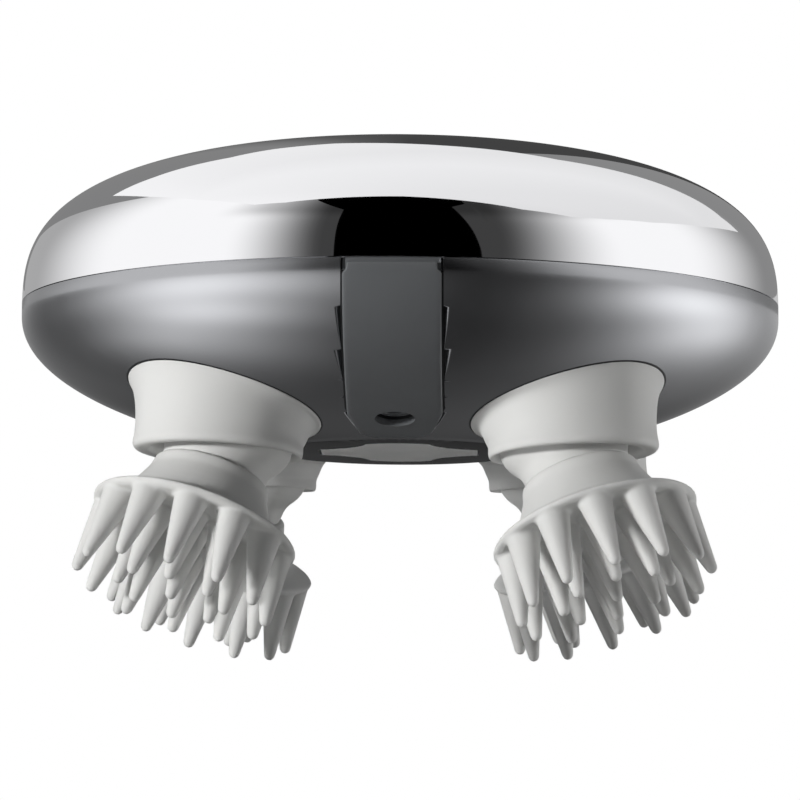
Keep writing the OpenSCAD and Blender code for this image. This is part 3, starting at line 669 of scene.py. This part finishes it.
HEAD_OUTLINE = [
    (0, FLANGE_LOW), (FLANGE_R - 0.9, FLANGE_LOW), (FLANGE_R - 0.15, FLANGE_LOW - 0.35),
    (FLANGE_R + 0.05, FLANGE_LOW - 0.9), (FLANGE_R - 0.35, CUP_LOW + 0.72), (FLANGE_R - 1.2, CUP_LOW + 0.42),
    (14.2, CUP_LOW + 0.18), (13.2, CUP_LOW - 0.12), (12.4, CUP_LOW - 0.75), (11.75, CUP_LOW - 1.8),
    (11.0, CUP_LOW - 3.2), (10.3, CUP_LOW - 4.6), (9.75, CUP_LOW - 5.8), (9.4, CUP_TOP + 0.5),
    (9.2, CUP_TOP + 0.12), (8.9, CUP_TOP), (7.1, CUP_TOP), (7.1, CUP_LOW - 1.0), (0, CUP_LOW - 1.0),
]


def tine(count, ring_r, turn, splay, i):
    """One tapered tine with a round tip, hanging from the flange."""
    angles = [math.radians(a) for a in range(0, 81, 16)]
    outline = [(TINE_TIP_R * math.sin(a), TINE_LENGTH - TINE_TIP_R * (1 - math.cos(a))) for a in angles]
    outline += [(TINE_ROOT_R, 0), (TINE_ROOT_R, -0.8), (0, -0.8)]
    piece = turned("tine", [flat_point(r * MM, -s * MM) for r, s in outline], 24)
    around = math.radians(turn + 360 * i / count)
    place = (Matrix.Rotation(around, 4, "Z") @ Matrix.Translation(Vector((ring_r, 0, -FLANGE_LOW)) * MM)
             @ Matrix.Rotation(-math.radians(splay), 4, "Y"))
    piece.data.transform(place)
    return piece


parts = [turned("head_model", [flat_point(r * MM, -s * MM) for r, s in HEAD_OUTLINE], 96)]
for count, ring_r, turn, splay in TINE_RINGS:
    parts += [tine(count, ring_r, turn, splay, i) for i in range(count)]
bpy.ops.object.select_all(action="DESELECT")
for part in parts:
    part.select_set(True)
head_model = parts[0]
bpy.context.view_layer.objects.active = head_model
bpy.ops.object.join()
apply_modifier(head_model, "REMESH", mode="VOXEL", voxel_size=VOXEL, adaptivity=0.0)
apply_modifier(head_model, "SMOOTH", factor=0.5, iterations=3)
print("one head:", len(head_model.data.polygons), "faces")

# %% Place four copies, each turned to its own lean
def lean_frame(k):
    """The head's own frame: Z up its leaning axis, X in the plane of the lean, origin at the pivot."""
    pivot, axis = pivots[k]
    sideways = Vector((0, 0, 1)).cross(Vector((pivot.x, pivot.y, 0))).normalized()
    forward_x = sideways.cross(axis).normalized()
    turn = Matrix((forward_x, sideways, axis)).transposed().to_4x4()
    return Matrix.Translation(pivot) @ turn


for k in pivots:
    copy = head_model.copy()
    copy.data = head_model.data.copy()
    copy.name = copy.data.name = "head_%d_skin" % k
    bpy.context.scene.collection.objects.link(copy)
    copy.data.transform(lean_frame(k))
    dress(copy, "silicone", "head_%d" % k, ["massage_head_%d" % k], 180)
bpy.data.objects.remove(head_model)

# %% [markdown]
# ## The necks
# The neck joins a head to its hub. Its round shoulder runs inside the boot, and what shows is the short
# tube between the boot's rim and the cup.

# %% Turn the necks
SHOULDER_R = 11.0
shoulder = [math.radians(a) for a in range(100, 116, 3)]
neck_outline = (
    [(7.1, CUP_TOP + 0.02), (8.3, CUP_TOP + 0.02), (8.4, CUP_TOP - 0.6), (8.48, 5.4), (8.62, 4.4),
     (8.9, 3.5), (9.35, 2.7), (9.9, 2.0), (10.35, 1.3), (10.7, 0.5), (10.92, -0.4)]
    + [(SHOULDER_R * math.sin(a), SHOULDER_R * math.cos(a)) for a in shoulder]
    + [((SHOULDER_R - 1.5) * math.sin(a), (SHOULDER_R - 1.5) * math.cos(a)) for a in reversed(shoulder)]
    + [(7.1, 2.0)]
)
for k in pivots:
    neck = turned("neck_%d_skin" % k, [flat_point(r * MM, -s * MM) for r, s in neck_outline], 96)
    neck.data.transform(lean_frame(k))
    dress(neck, "silicone", "head_%d" % k, ["neck_sleeve_%d" % k], 35)

# %% [markdown]
# ## The studio
# Chrome has no look of its own; it shows the studio. In the photograph the dome mirrors a large softbox
# overhead, a curved panel on each side that fades towards the front, a black gap between the panels and a
# dim wall behind. The satin bowl mirrors the same studio further down, but blurred. Each of these is a
# curtain or a card far away, seen only by reflections, so it lies in one direction from every point of
# the body. Lamps light the matt parts.

# %% Directions, and cards that only reflections see
STUDIO_RADIUS = 9.0               # metres, so far that only the direction counts


def toward(azimuth, elevation, distance):
    """A place as seen from the body: azimuth 0 is towards the camera, 90 to the right."""
    a, e = math.radians(azimuth), math.radians(elevation)
    direction = Vector((math.sin(a) * math.cos(e), -math.cos(a) * math.cos(e), math.sin(e)))
    return body_centre + direction * distance


def only_reflected(piece):
    """A card that mirrors see, but neither the camera nor the light on matt surfaces."""
    piece.visible_camera = False
    piece.visible_diffuse = False
    piece.visible_shadow = False


glow = bpy.data.materials.new("glowing_cloth")
glow.use_nodes = True
glow.node_tree.nodes.clear()
brightness = add_node(glow.node_tree, "VertexColor", {"layer_name": "brightness"})
light = add_node(glow.node_tree, "Emission", inputs={"Color": brightness.outputs["Color"], "Strength": 1.0})
add_node(glow.node_tree, "OutputMaterial", inputs={"Surface": light.outputs["Emission"]})


def curtain(name, left, right, bottom, top, brightness_at, distance=STUDIO_RADIUS):
    """Hangs a curved curtain. Edges and brightness are functions of azimuth and elevation in degrees."""
    bpy.ops.object.select_all(action="DESELECT")
    bpy.ops.mesh.primitive_grid_add(x_subdivisions=72, y_subdivisions=24, size=1)
    piece = start_piece(name)
    level = piece.data.color_attributes.new("brightness", "FLOAT_COLOR", "POINT")
    for vertex in piece.data.vertices:
        across, up = vertex.co.x + 0.5, vertex.co.y + 0.5
        azimuth = left(0) + (right(0) - left(0)) * across
        elevation = bottom + (top(azimuth) - bottom) * up
        azimuth = left(elevation) + (right(elevation) - left(elevation)) * across
        vertex.co = toward(azimuth, elevation, distance)
        value = brightness_at(azimuth, elevation)
        level.data[vertex.index].color = (value, value, value, 1)
    piece.data.materials.append(glow)
    only_reflected(piece)
    print(name, "hung from azimuth", left(0), "to", right(0))


# %% Two side panels, the black gap and the wall
PANEL_LOW = 8                     # degrees above the horizon: the dome mirrors what is above, the bowl below
PANEL_DIM_FROM, PANEL_DIM_TO = 32, 42
PANEL_TOP_LIGHT = 0.6             # the share of light near a panel's top, in its front half


def panel_light(front, full, back, end, end_level, azimuth, elevation):
    """Full in the middle of a panel, fading to its front edge, its far end and, in front, its top."""
    turn = abs(azimuth)
    across = 0.05 + 0.95 * ease(front, full, turn)
    across *= 1 - (1 - end_level) * ease(back, end, turn)
    top_dim = (1 - PANEL_TOP_LIGHT) * ease(full + 12, full - 8, turn)
    return across * (1 - top_dim * ease(PANEL_DIM_FROM, PANEL_DIM_TO, elevation))


def left_panel_top(azimuth):
    if azimuth > -33:
        return 41 + (53 - 41) * (-18.5 - azimuth) / (33 - 18.5)
    return 60 if azimuth > -119 else 46 + (azimuth + 119) * 0.75


def right_panel_top(azimuth):
    return 41 + (49 - 41) * (azimuth - 20.5) / 13 if azimuth < 33.5 else 60


def wall_light(azimuth, elevation):
    """Darkest straight behind, and again a little lighter to the right of it."""
    left = 0.17 * ease(181, 187, azimuth)
    right = 0.05 * ease(173, 164, azimuth) + 0.12 * ease(158, 142, azimuth)
    return 0.055 + left + right


curtain("left_panel", lambda el: -162, lambda el: -18.5, PANEL_LOW, left_panel_top,
        lambda az, el: panel_light(22, 54, 95, 145, 0.4, az, el))
curtain("right_panel", lambda el: 27 - 0.165 * el, lambda el: 172, PANEL_LOW, right_panel_top,
        lambda az, el: panel_light(31, 73, 98, 150, 0.25, az, el))
curtain("black_gap", lambda el: -45, lambda el: 50, PANEL_LOW, lambda az: 64, lambda az, el: 0.0,
        STUDIO_RADIUS + 0.3)
curtain("back_wall", lambda el: 110, lambda el: 260, -2, lambda az: 66,
        wall_light, STUDIO_RADIUS + 0.6)


# %% The overhead softbox
SOFTBOX_HEIGHT = 3.0
# corners seen from the body, in units of the height; y grows away from the camera
SOFTBOX_CORNERS = [
    (-0.78, -0.55), (-0.6, -0.63), (0.02, -0.63), (0.76, -0.76), (1.19, -0.67), (1.38, -0.4), (1.56, 0.1),
    (1.58, 0.9), (1.45, 1.9), (1.1, 1.48), (0.64, 1.22), (0.24, 1.05), (0.03, 1.27), (-0.12, 1.5),
    (-0.21, 1.41), (-0.3, 1.2), (-0.54, 1.1), (-0.82, 1.09), (-0.86, 0.5), (-0.86, -0.05),
]
softbox = prism("overhead_softbox", [(x * SOFTBOX_HEIGHT, y * SOFTBOX_HEIGHT) for x, y in SOFTBOX_CORNERS],
                SOFTBOX_HEIGHT, SOFTBOX_HEIGHT + 0.1)
softbox.data.transform(Matrix.Translation(body_centre))
level = softbox.data.color_attributes.new("brightness", "FLOAT_COLOR", "POINT")
for vertex in softbox.data.vertices:
    value = 0.96 - 0.17 * ease(-0.8, 0.5, vertex.co.x / SOFTBOX_HEIGHT)
    level.data[vertex.index].color = (value, value, value, 1)
softbox.data.materials.append(glow)
only_reflected(softbox)

# %% [markdown]
# Below the horizon the panels go on as two soft pools of light, which the bowl mirrors as its long
# highlights. Between them the studio is dark, so the bowl is nearly black at the front. The white floor
# is hidden from reflections for that reason.

# %% The pools of light that the bowl mirrors
POOLS = [                          # azimuth, elevation, brightness, sharpness
    (-62, -7, 0.77, 4.8), (-83, -49, 0.49, 18), (-130, -51, 0.31, 30),
    (100, -10, 0.84, 7.5), (132, -33, 0.4, 24), (175, 20, 0.3, 5),
    (180, -7, -0.17, 30),          # a dark patch, which the flat underside mirrors
]
BOWL_MIRRORS = 0.434               # the share of light that the bowl's finish sends back


def pools_light(azimuth, elevation):
    here = toward(azimuth, elevation, 1) - body_centre
    total = 0.006
    for pool_azimuth, pool_elevation, bright, sharp in POOLS:
        middle = toward(pool_azimuth, pool_elevation, 1) - body_centre
        total += bright * math.exp(sharp * (here.dot(middle) - 1))
    return max(total, 0) / BOWL_MIRRORS


curtain("lower_studio", lambda el: -180, lambda el: 180, -89, lambda az: PANEL_LOW, pools_light,
        STUDIO_RADIUS + 0.1)

# %% [markdown]
# The floor is white paper that shows from above only: the camera stands below its level and looks through
# it. Area lamps light the matt parts from both sides and from above. The world is white to the camera and
# to mirrors, and gives matt surfaces only a weak light from all round.

# %% Floor, lamps and world
bpy.ops.object.select_all(action="DESELECT")
bpy.ops.mesh.primitive_plane_add(size=6)
floor = start_piece("floor")
floor_material, floor_tree, floor_shader = new_material("white_paper")
set_shader(floor_shader, Base_Color=hex_colour("#f2f2f2"), Roughness=0.9)
back = add_node(floor_tree, "NewGeometry").outputs["Backfacing"]
clear = add_node(floor_tree, "BsdfTransparent")
seen = add_node(floor_tree, "MixShader", inputs={"Fac": back})
floor_tree.links.new(floor_shader.outputs["BSDF"], seen.inputs[1])
floor_tree.links.new(clear.outputs["BSDF"], seen.inputs[2])
floor_tree.links.new(seen.outputs["Shader"], floor_tree.nodes["Material Output"].inputs["Surface"])
floor.data.materials.append(floor_material)
floor.visible_glossy = False


def lamp(name, azimuth, elevation, distance, size, power):
    data = bpy.data.lights.new(name, "AREA")
    data.shape = "RECTANGLE"
    data.size, data.size_y = size
    data.energy = power
    made = bpy.data.objects.new(name, data)
    made.location = toward(azimuth, elevation, distance)
    made.rotation_euler = (body_centre - made.location).to_track_quat("-Z", "Y").to_euler()
    made.visible_glossy = False
    bpy.context.scene.collection.objects.link(made)


lamp("key_lamp", -52, 3, 1.2, (0.3, 0.12), 12.5)
lamp("rim_lamp", 98, 3, 1.2, (0.3, 0.12), 4.5)
lamp("overhead_lamp", 0, 88, 1.0, (0.9, 0.9), 1.3)

world = bpy.data.worlds.new("studio_white")
bpy.context.scene.world = world
world.use_nodes = True
world_tree = world.node_tree
ray = add_node(world_tree, "LightPath").outputs
seen_rays = add_node(world_tree, "Math", {"operation": "MAXIMUM"})
world_tree.links.new(ray["Is Camera Ray"], seen_rays.inputs[0])
world_tree.links.new(ray["Is Glossy Ray"], seen_rays.inputs[1])
all_rays = add_node(world_tree, "Math", {"operation": "MAXIMUM"})
world_tree.links.new(seen_rays.outputs[0], all_rays.inputs[0])
world_tree.links.new(ray["Is Transmission Ray"], all_rays.inputs[1])
AMBIENT = 0.05
level = add_node(world_tree, "MapRange", inputs={
    "Value": all_rays.outputs[0], "To Min": AMBIENT, "To Max": 1.0})
world_tree.links.new(level.outputs["Result"], world_tree.nodes["Background"].inputs["Strength"])
world_tree.nodes["Background"].inputs["Color"].default_value = (1, 1, 1, 1)
bpy.context.scene.view_settings.view_transform = "Standard"
print("studio set, ambient", AMBIENT)
